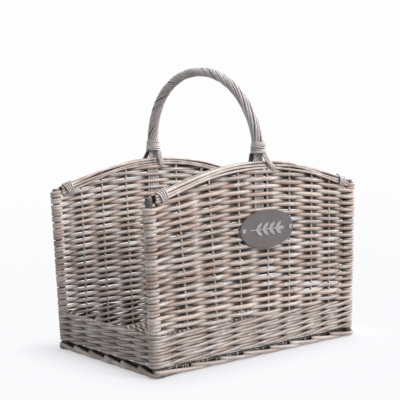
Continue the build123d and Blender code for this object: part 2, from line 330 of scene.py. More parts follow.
def setRamp(node, stops):
    stops, elements = list(stops), node.color_ramp.elements
    while len(elements) < len(stops):
        elements.new(0.5)
    for element, (spot, colour) in zip(elements, stops):
        element.position = spot
        element.color = hexColour(colour)


def newMaterial(name):
    material = bpy.data.materials.new(name)
    material.use_nodes = True
    tree = material.node_tree
    tree.nodes.clear()
    shader = addNode(tree, "BsdfPrincipled")
    addNode(tree, "OutputMaterial", {"Surface": shader})
    return material, tree, shader


def willow(name, tones, wash, washShare):
    # Greywashed willow: buff and pinkish shoots under a thin pale wash that is rubbed off in streaks,
    # with darker leaf scars. The wash makes it matt, and the skin under it keeps a soft shine.
    grainWidth, grainLength = 0.9, 26.0    # mm, streaks along the skin, drawn coarse enough to show
    patchSize = 26.0                       # mm, clouds of wash over neighbouring rods
    scarLength, scarWidth = 16.0, 4.8      # mm, room of one leaf scar
    washFrom, washTo = 1.02 - 0.3 * washShare, 1.22 - 0.3 * washShare
    colours = {"data_type": "RGBA"}
    material, tree, shader = newMaterial(name)
    uv = addNode(tree, "UVMap", uv_map="rodUv")
    tone = addNode(tree, "Attribute", attribute_name="rodTone").outputs["Fac"]
    paintedShadeFac = addNode(tree, "Attribute", attribute_name="paintedShade").outputs["Fac"]
    spot = addNode(tree, "TexCoord").outputs["Object"]
    shift = addNode(tree, "CombineXYZ", {"X": tone, "Y": tone})
    moved = addNode(tree, "VectorMath", {0: uv, 1: shift}, operation="ADD")
    grain = 1 / (grainLength * mm), 1 / (grainWidth * mm), 1
    along = addNode(tree, "Mapping", {"Vector": moved, "Scale": grain})
    streaks = addNode(tree, "TexNoise", {"Vector": along, "Scale": 1.0, "Detail": 4.0, "Roughness": 0.6})
    clouds = addNode(tree, "TexNoise", {"Vector": spot, "Scale": 1 / (patchSize * mm), "Detail": 3.0})
    ramp = addNode(tree, "ValToRGB", {"Fac": tone})
    setRamp(ramp, [(i / (len(tones) - 1), c) for i, c in enumerate(tones)])
    # streaks and clouds together say how much wash is left
    left = addNode(tree, "Math", {0: streaks, 1: 0.75, 2: clouds}, operation="MULTIPLY_ADD")
    washed = addNode(tree, "MapRange", {"Value": left, "From Min": washFrom, "From Max": washTo,
                                        "To Max": 0.85})
    coat = addNode(tree, "Mix", {"Factor": washed, "A": ramp, "B": hexColour(wash)}, **colours)
    # fine dark lines in the skin
    lines = addNode(tree, "MapRange", {"Value": streaks, "From Min": 0.32, "From Max": 0.5, "To Min": 0.62})
    lined = addNode(tree, "Mix", {"Factor": 1.0, "A": coat, "B": lines}, blend_type="MULTIPLY", **colours)
    scarRoom = 1 / (scarLength * mm), 1 / (scarWidth * mm), 1
    scarMap = addNode(tree, "Mapping", {"Vector": moved, "Scale": scarRoom})
    scars = addNode(tree, "TexVoronoi", {"Vector": scarMap, "Scale": 1.0})
    scarMask = addNode(tree, "MapRange", {"Value": scars, "From Min": 0.07, "From Max": 0.16, "To Min": 0.6,
                                          "To Max": 0.0})
    scarred = addNode(tree, "Mix", {"Factor": scarMask, "A": lined, "B": hexColour("#5d4c42")}, **colours)
    # painted shade: the colour is mixed towards dark brown as far as the painted shade attribute says
    shadedColour = addNode(tree, "Mix", {"Factor": paintedShadeFac, "A": scarred, "B": hexColour("#231a16")}, **colours)
    sheen = addNode(tree, "MapRange", {"Value": streaks, "To Min": 0.3, "To Max": 0.5})
    bump = addNode(tree, "Bump", {"Height": streaks, "Strength": 0.5, "Distance": 0.35 * mm})
    feed(tree, shader, {"Base Color": shadedColour, "Roughness": sheen, "Normal": bump, "IOR": 1.5})
    return material


buff = ("#a08c80", "#b5a094", "#bfab9f", "#a89c96", "#c9b7aa", "#b6a8a1")
grey = ("#9a8b82", "#aa9c94", "#b4a59b", "#a39a96", "#beb0a6")
light = ("#b5a79e", "#c6b8ae", "#bcaea5", "#cfc3ba")
washedWillow = willow("willow_greywashed_weavers", buff, "#d6d2d0", 0.5)
washedWale = willow("willow_greywashed_waling", grey, "#cbc6c3", 0.5)
washedFoot = willow("willow_greywashed_foot", grey, "#c6bfba", 0.4)
# painted light: a paler copy of the rim willow, for the half of the rim where the light falls most
litRimWillow = willow("willow_rim_painted_light", light, "#ddd7d2", 0.55)
pale = ("#bab2ae", "#c9c2be", "#c1b9b5", "#d2ccc9")
handleWillow = willow("willow_whitewashed_handle", pale, "#dad7d6", 0.5)
stakeWillow = willow("willow_whitewashed_stakes", ("#b3a9a3", "#c6bdb8", "#bfb6b2"), "#dfdcdc", 0.6)
darkWillow = willow("willow_brown_posts", ("#5b5350", "#676060", "#554b47"), "#8b8685", 0.3)
print("basket: willow finishes made")

# tall walls: rods woven in front of one stake and behind the next, turned round the posts at the ends
weave = {
    "front": {"rodRadius": 3.85, "rowPitch": 6.4, "capTurns": {1: 2.0}},
    "back": {"rodRadius": 3.5, "rowPitch": 5.8, "capTurns": {-1: 2.3, 1: 2.3}},
    "footTurns": {-1: 2.0, 1: 1.2},  # turns round each post below the first row, as capTurns are above
    "footDrop": 1.2,  # they start this many rows below the first row,
    "capRise": 0.7,  # or above the last
    "press": 0.8,  # rods are pressed this much thinner across the wall
    "spread": 0.13,  # how much the rods differ in thickness
    "shoot": 44,  # points that a shoot passes at least,
    "shootMore": 10,  # and how many more it may pass
    "overWale": 0.2,  # left between the waling and the first row
    "cornerGap": 4.5,  # left under the rim beside a post
    "archShare": 0.5,  # how much of the rim's arch the top full row follows
    "archGrowth": 1.3,  # how quickly the rows take up the arch towards the top
    "shortRows": 4,  # rows that fill the arch and end under the rim
    "tuckUnder": 6.5,  # how far their ends go up behind the rim rods
    "postRoom": 8,  # how far they stay from the rim's ends
    "tipRoom": 10,  # left between such a row's end and its last bend
    "wander": 0.9,  # how far a row strays up or down
    "shadeFrom": -0.12,  # how far behind the stakes a rod's painted shade starts
    "dark": 0.85,  # how dark the painted shade on the sides turned to the middle of the wall is
    "edge": 0.4,  # how far in from its upper and lower edges a rod gets painted shade
    "wrapShare": 0.88,  # rods are thinner where they are pulled round a post
    "linerReach": 7.0,  # the handle's liners stand within this much of its foot's middle
    "sides": 10,
}
turnStops = {  # once and a half round an end stick: degrees, and shares of the climb to the next row
    "angle": (45, 0, -45, -90, -135, -180, -225, -270, -315, -360, -405, -450),
    "climb": (0.02, 0.08, 0.14, 0.22, 0.35, 0.5, 0.65, 0.8, 0.86, 0.92, 0.97, 1.0),
}


def serpentine(supports, reaches, rowCount, spot):
    # one long rod over and under the supports, row by row; spot gives its points at a support
    points = []
    last = len(supports) - 1
    for row in range(rowCount):
        forward = row % 2 == 0
        order = range(last + 1) if forward else range(last, -1, -1)
        for s in order:
            side = 1 if (s + row) % 2 == 0 else -1
            stops = spot(supports[s], row, side * reaches[s], 0)
            points += stops if forward else stops[::-1]
        if row == rowCount - 1:
            break
        end = last if forward else 0
        facing = 1 if forward else -1      # even rows reach their end outside, odd rows inside
        for angle, climb in zip(turnStops["angle"], turnStops["climb"]):
            turn = math.radians(angle)
            shift = reaches[end] * math.cos(turn)
            out = reaches[end] * math.sin(turn)
            points += spot(supports[end], row + climb, facing * out, facing * shift)
    return np.array(points)


def weaveWall(name):
    wall, own = walls[name], weave[name]
    rodRadius = own["rodRadius"]
    thin = rodRadius * weave["press"]
    count = basket["sideStakes"]
    supports = list(range(-count - 1, count + 2))
    gap = basket["stakeRadius"] + thin - basket["pressIn"]
    reaches = [gap] * len(supports)
    reaches[0] = reaches[-1] = basket["postRadius"] + thin - basket["pressIn"]
    bottom = waleTop + weave["overWale"] + rodRadius
    cornerTop = rimLine["endHeight"] - rimDepth - weave["cornerGap"] - rodRadius
    rowCount = round((cornerTop - bottom) / own["rowPitch"]) + 1
    pitch = (cornerTop - bottom) / (rowCount - 1)
    strays = rowCount + weave["shortRows"] + 1
    stray = [[(2 * draw.random() - 1) * weave["wander"] for _ in supports] for _ in range(strays)]

    def supportX(index, height):
        if abs(index) == count + 1:
            return math.copysign(wall["half"] + wall["splay"] * height, index)
        return stakeX(name, index, height)

    def rowHeight(x, row):
        arch = float(rimHeight(min(abs(x), rimEnd)) - rimLine["endHeight"])
        share = weave["archShare"] * (min(max(row, 0) / (rowCount - 1), 1)) ** weave["archGrowth"]
        return bottom + row * pitch + share * arch

    def spot(index, row, out, shift):
        x = supportX(index, bottom + row * pitch) + shift
        across = [x]
        if index == 0 and rowHeight(x, row) > basket["linerBottom"]:
            across = [wall["footX"] - weave["linerReach"], x]       # past the liners as well as the stake
        bare = (wall["across"] * shift + wall["out"] * out) / reaches[index + count + 1]
        lift = stray[int(row)][index + count + 1]
        size = weave["wrapShare"] if abs(index) == count + 1 else 1
        return [(*onWall(wall, x, rowHeight(x, row) + lift, out), *bare, size) for x in across]

    rods = []
    full = serpentine(supports, reaches, rowCount, spot)
    # the long line is cut into rods where new shoots are joined in
    here = 0
    while here < len(full) - 3:
        ahead = min(here + weave["shoot"] + draw.randrange(weave["shootMore"]), len(full))
        rods.append(wovenRod(full[here:ahead + 1], rodRadius, weave))
        here = ahead
    # short rows fill the arch; their ends go up behind the rim rods
    places = np.arange(-rimEnd + weave["postRoom"], rimEnd - weave["postRoom"])
    tip = weave["tipRoom"]
    room = rimHeight(places) - rimDepth - rodRadius - np.array([rowHeight(x, rowCount - 1) for x in places])
    shortPitch = room.max() / weave["shortRows"]
    for extra in range(1, weave["shortRows"] + 1):
        inside = places[room + weave["tuckUnder"] > extra * shortPitch]
        first, last = inside[0], inside[-1]
        row = rowCount - 1 + extra * shortPitch / pitch
        points = []
        for index in supports[1:-1]:
            side = 1 if (index + count + 1 + rowCount - 1 + extra) % 2 == 0 else -1
            stops = spot(index, row, side * gap, 0)
            points += [p for p in stops if first + tip < supportX(index, cornerTop) < last - tip]
        for x, at in ((first, 0), (last, len(points) + 1)):
            points.insert(at, (*onWall(wall, x, rowHeight(x, row), 0), 0, 0, 0, 1))
        rods.append(wovenRod(np.array(points), rodRadius, weave))
    # the posts are wrapped on down to the waling, and up to just under their tops
    low, high = bottom - weave["footDrop"] * pitch, cornerTop + weave["capRise"] * pitch
    wraps = [(side, turns, low) for side, turns in weave["footTurns"].items()]
    wraps += [(side, turns, high) for side, turns in own["capTurns"].items()]
    perTurn = 8
    for side, turns, start in wraps:
        points = []
        for i in range(round(turns * perTurn) + 1):
            angle = math.pi * (1 - 2 * i / perTurn)
            height = start + pitch * i / perTurn
            across, out = side * reaches[0] * math.cos(angle), reaches[0] * math.sin(angle)
            x = side * (wall["half"] + wall["splay"] * height) + across
            bare = (wall["across"] * across + wall["out"] * out) / reaches[0]
            points.append((*onWall(wall, x, height, out), *bare, weave["wrapShare"]))
        rods.append(wovenRod(np.array(points), rodRadius, weave))
    return rods


shoot = {"step": 7.5, "butt": 1.04, "tip": 0.95, "knobbly": 0.07}


def wovenRod(points, rodRadius, cfg):
    # one shoot of a woven piece: its points hold the way of its bare side, and may hold a share of its size
    line = bend(points, shoot["step"])
    size = rodRadius * (1 + cfg["spread"] * (2 * draw.random() - 1))
    taper = np.linspace(shoot["butt"], shoot["tip"], len(line))
    if line.shape[1] > 6:
        taper = taper * line[:, 6]
    return rod(line, size * taper * knobbly(line, shoot["knobbly"]), line[:, 3:6], cfg["dark"],
               cfg["shadeFrom"], press=cfg["press"], edge=cfg["edge"])


for wallName in ("front", "back"):
    wraps = [f"post_wrap_{wallName}_{end}" for end in ("left", "right")]
    makeRods("side_weave_rods_" + wallName, weaveWall(wallName), weave, washedWillow,
             "willow_weave", "side_weave_" + wallName, *wraps)

# waling band and foot border, which run right round the basket
wale = {
    "rodRadius": 3.25, "press": 0.85, "edge": 0.6, "rows": 5, "strands": 3,
    "lead": 3,  # uprights that the first row passes before its round starts
    "climbOver": 4,  # uprights over which a round climbs to the next
    "shoot": 26,  # points of a shoot, more for each strand, and fewest of the last one
    "shootMore": 2, "shootLeast": 12,
    "slant": 3.0,  # a stroke starts this far below its row and ends as far above
    # shadeFrom, dark and edge set the painted shade on the rods' hidden sides
    "spread": 0.09, "wander": 0.9, "shadeFrom": -0.1, "dark": 0.95,
    "cornerFan": 0.1,  # share of a stake gap that a rod takes to turn a corner
    "sides": 10,
}
ringOrder = []  # every upright, anticlockwise from the back wall's first stake
for wallName in ("back", "left", "front", "right"):
    each = basket["endStakes" if wallName in ("left", "right") else "sideStakes"]
    ringOrder += [(wallName, k) for k in range(-each, each + 1)] + [(wallName, "corner")]


def isCorner(index):
    return ringOrder[index % len(ringOrder)][1] == "corner"


def uprightSpot(index, z):
    wallName, k = ringOrder[index % len(ringOrder)]
    wall = walls[wallName]
    up = z / wall["up"][2]
    half = wall["half"] + wall["splay"] * z
    if k == "corner":
        return onWall(wall, half, up, 0)
    return onWall(wall, stakeX(wallName, k, z), up, 0)


def outwards(index):
    # level direction out of the wall that follows an upright
    name = ringOrder[(index + isCorner(index)) % len(ringOrder)][0]
    out = walls[name]["out"].copy()
    out[2] = 0
    return unit(out)


def aroundBasket(q, out, z):
    # the place q uprights round the basket; corners are turned on an arc about the post
    fan = wale["cornerFan"]
    near = round(q)
    if isCorner(near) and abs(q - near) <= fan + 1e-9:
        share = (q - near + fan) / (2 * fan)
        before, after = outwards(near - 1), outwards(near)
        angle = share * math.pi / 2
        return uprightSpot(near, z) + out * (before * math.cos(angle) + after * math.sin(angle))
    start = math.floor(q)
    share = q - start
    low = fan if isCorner(start) else 0
    high = 1 - fan if isCorner(start + 1) else 1
    share = (share - low) / (high - low)
    a, b = uprightSpot(start, z), uprightSpot(start + 1, z)
    return a + (b - a) * share + out * outwards(start)


def shoots(points, length, cfg):
    # cuts a long line of points into shoots
    points = np.array(points)
    cuts = list(range(0, len(points) - cfg["shootLeast"], length)) + [len(points)]
    return [wovenRod(points[a:b + 1], cfg["rodRadius"], cfg) for a, b in zip(cuts[:-1], cuts[1:])]


def walingRods():
    perRow, over = len(ringOrder), wale["climbOver"]
    pitch = (waleTop - waleBottom) / wale["rows"]
    rods = []
    for strand in range(wale["strands"]):
        points = []
        for index in range(-wale["lead"], perRow * wale["rows"]):
            turn, upright = divmod(index, perRow)
            # each round but the last climbs to the next, and the lead fills in under the first climb
            climb = max(0, (upright - perRow + over) / over) if turn < wale["rows"] - 1 else 0
            level = waleBottom + pitch * max(turn + 0.5 + climb, 0.5)
            # a strand goes in front of two uprights and behind the third
            phase = (index - strand) % 3
            reach = basket["postRadius" if isCorner(upright) else "stakeRadius"]
            reach += wale["rodRadius"] * wale["press"] - basket["pressIn"]
            slant = (-wale["slant"], wale["slant"], 0)[phase]
            level += slant + wale["wander"] * (draw.random() - 0.5)
            side = -1 if phase == 2 else 1
            fan = wale["cornerFan"]
            turns = (-fan, 0, fan) if isCorner(upright) and side > 0 else (0,)
            for shift in turns:
                outs = side * reach, 0, 10
                here, inner, outer = (aroundBasket(index + shift, out, level) for out in outs)
                points.append((*here, *(unit(outer - inner) * side)))
        rods += shoots(points, wale["shoot"] + wale["shootMore"] * strand, wale)
    return rods


makeRods("waling_band_rods", walingRods(), wale, washedWale,
         "willow_wale", *["wale_" + wallName for wallName in walls])

border = {
    # along in stake gaps, out from the stakes' line, height, radius
    "stroke": ((0.0, 3.4, 10.8, 4.5), (0.05, 5.6, 10.4, 4.6), (0.35, 7.0, 8.4, 4.5), (0.72, 7.4, 6.4, 4.3),
               (1.0, 7.2, 5.2, 4.0), (1.4, 6.2, 4.4, 3.6), (1.8, 2.6, 4.1, 3.2)),
    "cornerOut": 2.4,  # how much further out a stroke runs round a post
    "cornerReach": 0.3,  # how near to a post, in stake gaps, that starts,
    "cornerFrom": 3,  # and how far out the stroke has to be
    "cornerFan": 0.1,  # a stroke that comes to a post turns it over this share of a gap each way,
    "cornerFall": 4,  # and falls this much for each gap
    "inner": ((4.6, 3.9), (11.2, 3.6)),  # height and radius of the rods inside, which close the view; their outer sides are painted fully dark as shade
    "innerOut": -2.6, "step": 5.0, "innerStep": 12.0, "dark": 1.0, "sides": 10,
}


def footRods():
    rods = []
    for index in range(len(ringOrder)):
        points = []
        for along, out, height, radius in border["stroke"]:
            q, fan = index + along, border["cornerFan"]
            atCorner = isCorner(round(q)) and abs(q - round(q)) < border["cornerReach"]
            onCorner = atCorner and along == 1
            extra = border["cornerOut"] if atCorner and out > border["cornerFrom"] else 0
            for shift in (-fan, 0, fan) if onCorner else (0,):
                level = height - shift * border["cornerFall"]
                points.append((*aroundBasket(q + shift, out + extra, level), radius))
        line = bend(points, border["step"])
        size = line[:, 3] * knobbly(line, 0.04)
        # painted shade on each stroke's inner side
        rods.append(rod(line, size, outwards(index), border["dark"], 0.05, edge=0.4))
    for height, radius in border["inner"]:
        stops = np.arange(0, len(ringOrder) + 0.01, 0.25)
        spots = np.array([aroundBasket(q % len(ringOrder), border["innerOut"], height) for q in stops])
        away = np.array([outwards(math.floor(q)) for q in stops])
        line = bend(np.hstack([spots, -away]), border["innerStep"])
        # painted shade: the bare way points inwards, so the sides seen from outside are painted fully dark
        rods.append(rod(line, radius, line[:, 3:6], border["dark"], 0.4))
    return rods


makeRods("foot_border_rods", footRods(), border, washedFoot,
         "willow_foot", *["foot_border_" + wallName for wallName in walls])

# posts, stakes and the rods that carry the handle
stick = {
    "step": 16.0,
    "waver": 0.3,  # how far a stick strays from its straight line
    "linerRadius": 2.1,
    "linerOffsets": (-9.3, -4.7, 0.0, 4.7, 9.3),
    "linerClose": 0.9,  # the liners' tops stand this much closer together,
    "linerRise": 12,  # and this far above the binding's lower end
    "endDrop": 2,  # how far below the waling's top the short stakes end
    "sides": 10,
}


def straightRod(start, end, radius, bare):
    points = [start + (end - start) * t for t in (0, 0.25, 0.5, 0.75, 1)]
    points = [p + (np.array([draw.random(), draw.random(), 0]) - (0.5, 0.5, 0)) * stick["waver"]
              for p in points]
    line = bend(points, stick["step"])
    # painted shade: both faces of a stick stay bare, and its sideways faces are darkened
    return rod(line, radius * knobbly(line, 0.03, 3), bare, 0.9, 0.6, True)


def uprights(label, wallName, radius, lowEnds, highEnds, node):
    # straight rods in a wall, each from one (across, up) to another
    wall = walls[wallName]
    rods = [straightRod(onWall(wall, *low, 0), onWall(wall, *high, 0), radius, wall["out"])
            for low, high in zip(lowEnds, highEnds)]
    makeRods(label + wallName, rods, stick, stakeWillow, "willow_stake", node + wallName)


for wallName in ("front", "back"):
    wall = walls[wallName]
    lows = [(x, stakeFoot) for x in basket["stakeFeet"]]
    highs = [(x, rimAt(x) - basket["stakeDrop"]) for x in basket["stakeTops"]]
    uprights("stake_rods_", wallName, basket["stakeRadius"], lows, highs, "stakes_")
    top = wall["footZ"] + stick["linerRise"]
    lows = [(wall["footX"] + x, basket["linerBottom"]) for x in stick["linerOffsets"]]
    highs = [(wall["footX"] + x * stick["linerClose"], top) for x in stick["linerOffsets"]]
    uprights("liner_rods_", wallName, stick["linerRadius"], lows, highs, "handle_liners_")
for wallName in ("left", "right"):
    each, pitch = basket["endStakes"], walls[wallName]["stakePitch"]
    lows = [(k * pitch, stakeFoot) for k in range(-each, each + 1)]
    highs = [(x, waleTop - stick["endDrop"]) for x, foot in lows]
    uprights("stake_rods_", wallName, basket["stakeRadius"], lows, highs, "stakes_")

# the posts' turned-in ends make up for the inset
post = {"inset": 1.85, "rings": 30, "sides": 20}
for corner in ("front_left", "front_right", "back_left", "back_right"):
    low, high = postAxis("post_" + corner)
    inset = unit(high - low) * post["inset"]
    line = np.linspace(low + inset, high - inset, post["rings"])
    bark = rod(line, basket["postRadius"] * knobbly(line, 0.02), (0, 0, 0), 0)
    makeRods("post_rod_" + corner, [bark], post, darkWillow,
             "willow_post", "post_" + corner)

# base: long sticks with thin rods woven across them, turned round the edge sticks
base = {
    "rodRadius": 3.1, "press": 0.85, "edge": 0.5, "rowPitch": 6.2, "spread": 0.08,
    # painted shade on the sides that the woven rods turn to the middle of the base
    "shadeFrom": 0.05, "dark": 0.85,
    "shoot": 63,  # points of a shoot, and fewest of the last one
    "shootLeast": 20,
    "sticks": 4,  # each way from the middle one
    "endRoom": 3,  # left between the woven rods and the sticks' ends
    "loopPitch": 6.4,
    "loopRoom": 16,  # left between the loops and the sticks' ends
    "loopShare": 0.9,  # share of the loops that show at a wall's left end; none does at its right end
    "loopRadius": 1.9, "loopOut": 0.5, "loopBottom": 5,
    "loopTop": 16.5,  # the highest, and how much lower one may end
    "loopTopSpread": 5, "loopStray": 3, "sides": 6,
}


def baseRods():
    low, high = boxOf("base_sticks")
    stickR = basket["baseStickRadius"]
    pitch = (high[1] - low[1] - 2 * stickR) / 2 / base["sticks"]
    level = (low[2] + high[2]) / 2
    supports = [k * pitch for k in range(-base["sticks"], base["sticks"] + 1)]
    reach = stickR + base["rodRadius"] * base["press"]
    length = high[0] - low[0] - 2 * base["endRoom"]
    rows = int(length / base["rowPitch"])
    start = low[0] + base["endRoom"] + (length - (rows - 1) * base["rowPitch"]) / 2

    def spot(along, row, out, shift):
        x = start + row * base["rowPitch"]
        return [(x, along + shift, level + out, 0, shift / reach, out / reach)]

    line = serpentine(supports, [reach] * len(supports), rows, spot)
    woven = shoots(line, base["shoot"], base)
    # where the rods turn at the long edges, their loops hang down behind the foot border
    for wallName in ("front", "back"):
        wall, room, bottom = walls[wallName], base["loopRoom"], base["loopBottom"]
        for x in np.arange(low[0] + room, high[0] - room, base["loopPitch"]):
            x += base["loopStray"] * draw.random() - base["loopStray"] / 2
            top = base["loopTop"] - base["loopTopSpread"] * draw.random()
            drop = [onWall(wall, x, z, base["loopOut"]) for z in (bottom, (bottom + top) / 2, top)]
            if draw.random() < base["loopShare"] * (high[0] - x) / (high[0] - low[0]):
                # painted shade: the loops' sides are darkened, as they hang behind the foot border
                woven.append(rod(drop, base["loopRadius"], wall["out"], 0.9, 0.8))
    sticks = [straightRod(np.array((low[0], y, level)), np.array((high[0], y, level)), stickR, (0, 0, 1))
              for y in supports]
    return woven, sticks


wovenBase, baseSticks = baseRods()
makeRods("base_weave_rods", wovenBase, base, washedWale, "willow_base", "base_weave")
makeRods("base_stick_rods", baseSticks, stick, washedFoot, "willow_base", "base_sticks")

# rim bundle: rods on each face, from each post to the handle's foot, and one on the stakes' ends
rim = {
    "loose": {-1: 0.9, 1: 1.4},  # how far the rods sway; the right half is laid less tightly
    "pastEnd": 4.5,  # a rod starts at most this far inside the rim's end,
    "pastSpread": 2.5,  # or up to this much nearer to it
    "joinGap": 0.6, "stations": 9, "butt": 1.06, "tip": 0.9,
    "turnUp": 0.9,  # how much the bare side of the top rods faces up
    "dark": 0.95, "fillRadius": 2.4,
    "fillDrop": 3.4,  # how far under the rim line the rod between the faces lies,
    "fillStray": 0.5,  # how much higher it may lie,
    "fillPost": 8,  # and what it leaves at the post and at the handle's foot
    "fillFoot": 14, "sides": 12,
}


def rimRods(name, side):
    wall = walls[name]
    loose, last = rim["loose"][side], rim["stations"] - 1
    rods = []
    for face in (1, -1):
        for row in range(rimLine["rows"]):
            drop = (row + 0.5) * rimLine["rodPitch"]
            start = rimEnd - rim["pastEnd"] + rim["pastSpread"] * draw.random()
            stop = rimLine["joinX"] + side * rim["joinGap"]
            points = []
            for i in range(last + 1):
                x = side * start + (stop - side * start) * i / last
                sway = loose * math.sin(i * 0.9 + row * 2.1 + face) * math.sin(math.pi * i / last)
                up = rimAt(min(abs(x), rimEnd)) - drop + sway
                out = face * (rimLine["faceOffset"] + 0.3 * loose * math.cos(i * 1.1 + row))
                points.append(onWall(wall, x, up, out))
            line = bend(points, rimLine["step"])
            size = rimLine["rodRadius"] * np.linspace(rim["butt"], rim["tip"], len(line))
            bare = unit(face * wall["out"] + (rim["turnUp"] * wall["up"] if row == 0 else 0))
            # painted shade on the sides that face the other rods of the bundle
            rods.append(rod(line, size * knobbly(line, 0.04), bare, rim["dark"], 0.72))
    ends = side * (rimEnd - rim["fillPost"]), wall["footX"] + side * rim["fillFoot"]
    points = []
    for x in np.linspace(*ends, rim["stations"]):
        up = rimAt(abs(x)) - rim["fillDrop"] + rim["fillStray"] * draw.random()
        points.append(onWall(wall, x, up, 0))
    line = bend(points, rimLine["step"])
    size = rim["fillRadius"] * knobbly(line, 0.05)
    # painted shade on the rod between the faces, all but its top
    return rods + [rod(line, size, wall["up"], rim["dark"], 0.6)]


halves = (("front", -1, "front_left"), ("front", 1, "front_right"),
          ("back", -1, "back_right"), ("back", 1, "back_left"))
for wallName, side, corner in halves:
    # painted light: the near-left half of the rim takes the paler copy
    material = litRimWillow if corner == "front_left" else washedWillow
    makeRods("rim_rods_laid_" + corner, rimRods(wallName, side), rim, material,
             "willow_rim", "rim_rods_" + corner)

# corner bindings: turns of split rod over the rim bundle beside each post; fan says how much wider apart
# the turns lie at the top than at the middle
binding = {
    "place": 219.0, "turns": 4, "pitch": 4.1, "fan": 0.3, "strand": 1.95, "depth": 19.2,
    "height": 19.6,
    # one turn, in halves of depth and height, from the top, down the outside first
    "turn": ((0, 1), (0.75, 0.86), (1, 0.4), (1, -0.4), (0.75, -0.86), (0, -1),
             (-0.75, -0.86), (-1, -0.4), (-1, 0.4), (-0.75, 0.86)),
    "step": 3.5, "sides": 10,
}


def bindingRod(name, side):
    wall = walls[name]
    centre = side * binding["place"]
    middle = rimAt(centre) - rimDepth / 2
    slope = -side * math.atan(rimLine["slope"])
    halfD, halfH = binding["depth"] / 2, binding["height"] / 2
    corners = binding["turn"]
    points = []
    total = binding["turns"] * len(corners)
    for i in range(total + 1):
        depth, height = corners[i % len(corners)]
        along = (i / len(corners) - binding["turns"] / 2) * binding["pitch"] * (1 + binding["fan"] * height)
        x = centre + along * math.cos(slope) - height * halfH * math.sin(slope)
        up = middle + along * math.sin(slope) + height * halfH * math.cos(slope)
        bare = unit(wall["out"] * depth + wall["up"] * height)
        points.append((*onWall(wall, x, up, depth * halfD), *bare))
    line = bend(points, binding["step"])
    # painted shade on the sides of the turns that lie against the rim
    return [rod(line, binding["strand"] * knobbly(line, 0.1), line[:, 3:6], 0.95, 0.6, edge=0.8)]


for wallName, side, corner in halves:
    makeRods("corner_binding_turns_" + corner, bindingRod(wallName, side), binding, handleWillow,
             "willow_binding", "corner_binding_" + corner)

# handle: strands roped round a core, bound at each foot
hoop = {
    "crownRadius": 185.0,
    "lean": 3.4,  # degrees, towards the left end
    "top": 536.0, "foot": 386.0, "strands": 12,
    # lay of the strands to the axis, in degrees, at shares of the way from the front foot to the back one
    "lay": ((0.0, 7), (0.15, 11), (0.35, 23), (0.5, 33), (0.75, 31), (1.0, 24)),
    # outer radius at shares of the way from the crown to a foot
    "radius": ((0, 8.5), (0.55, 9.9), (0.9, 10.9), (1, 10.9)),
    "overlap": 1.16,  # strands are this much thicker than just fits,
    "spread": 0.2,  # and differ this much in thickness,
    "stray": 0.9,  # in how far out they lie,
    "wander": 0.12,  # and in their angle
    "waves": 17, "stations": 150, "sides": 8,
}


def handleLine():
    feet = []
    for name in ("front", "back"):
        wall = walls[name]
        feet.append(onWall(wall, wall["footX"], hoop["foot"] / wall["up"][2], 0))
    along = unit((feet[1] - feet[0]) * (1, 1, 0))
    across = np.cross(along, (0, 0, 1))
    lean = math.radians(hoop["lean"])
    rise = np.array((0, 0, 1)) * math.cos(lean) - across * math.sin(lean)
    half = np.linalg.norm((feet[1] - feet[0])[:2]) / 2
    middle = (feet[0] + feet[1]) / 2
    height = (hoop["top"] - hoop["foot"]) / math.cos(lean)
    crown = hoop["crownRadius"]
    drop = crown - height
    shoulder = (crown**2 - half**2 - drop**2) / (2 * (crown - half))
    shoulderX = half - shoulder
    turn = math.atan2(drop, shoulderX)
    # centre, radius and angles of the three arcs that make the hoop
    arcs = ((-shoulderX, 0, shoulder, math.pi - np.linspace(0, turn, 24, endpoint=False)),
            (0, -drop, crown, math.pi - np.linspace(turn, math.pi - turn, 40, endpoint=False)),
            (shoulderX, 0, shoulder, np.linspace(turn, 0, 25)))
    spots = [(x + radius * math.cos(a), z + radius * math.sin(a))
             for x, z, radius, angles in arcs for a in angles]
    line = np.array([middle + along * x + rise * z for x, z in spots])
    return line, np.cross(along, rise)


def handleStrands():
    line, planeNormal = handleLine()
    walk = np.concatenate([[0], np.cumsum(steps(line))])
    s = np.linspace(0, walk[-1], hoop["stations"])
    centre = np.array([np.interp(s, walk, line[:, i]) for i in range(3)]).T
    tangent = np.gradient(centre, axis=0)
    tangent /= np.linalg.norm(tangent, axis=1)[:, None]
    inPlane = np.cross(planeNormal, tangent)
    share = s / walk[-1]
    atEnd = np.abs(2 * share - 1)
    outer = np.interp(atEnd, *zip(*hoop["radius"]))
    lay = np.radians(np.interp(share, *zip(*hoop["lay"])))
    twist = np.concatenate([[0], np.cumsum(np.tan(lay[:-1]) / outer[:-1] * np.diff(s))])
    rods = []
    fit = math.sin(math.pi / hoop["strands"])
    for strand in range(hoop["strands"]):
        size = outer * fit / (1 + fit)
        size = size * hoop["overlap"] * (0.9 + hoop["spread"] * draw.random())
        reach = outer - size + hoop["stray"] * (draw.random() - 0.5)
        angle = 2 * math.pi * strand / hoop["strands"] + twist
        angle = angle + hoop["wander"] * np.sin(share * hoop["waves"] + 6 * draw.random())
        away = np.cos(angle)[:, None] * inPlane + np.sin(angle)[:, None] * planeNormal
        # painted shade on each strand's sides, where it lies against its neighbours
        rods.append(rod(centre + reach[:, None] * away, size, away, 1.0, 0.6, edge=1.05))
    return rods


makeRods("handle_roped_strands", handleStrands(), hoop, handleWillow,
         "willow_handle", "handle_roped_wrap")

footBind = {"turns": 6.5, "perTurn": 12, "strand": 1.85, "tilt": 0.9, "lowRadius": 13.6,
            "highRadius": 11.4, "step": 4.0, "sides": 10}


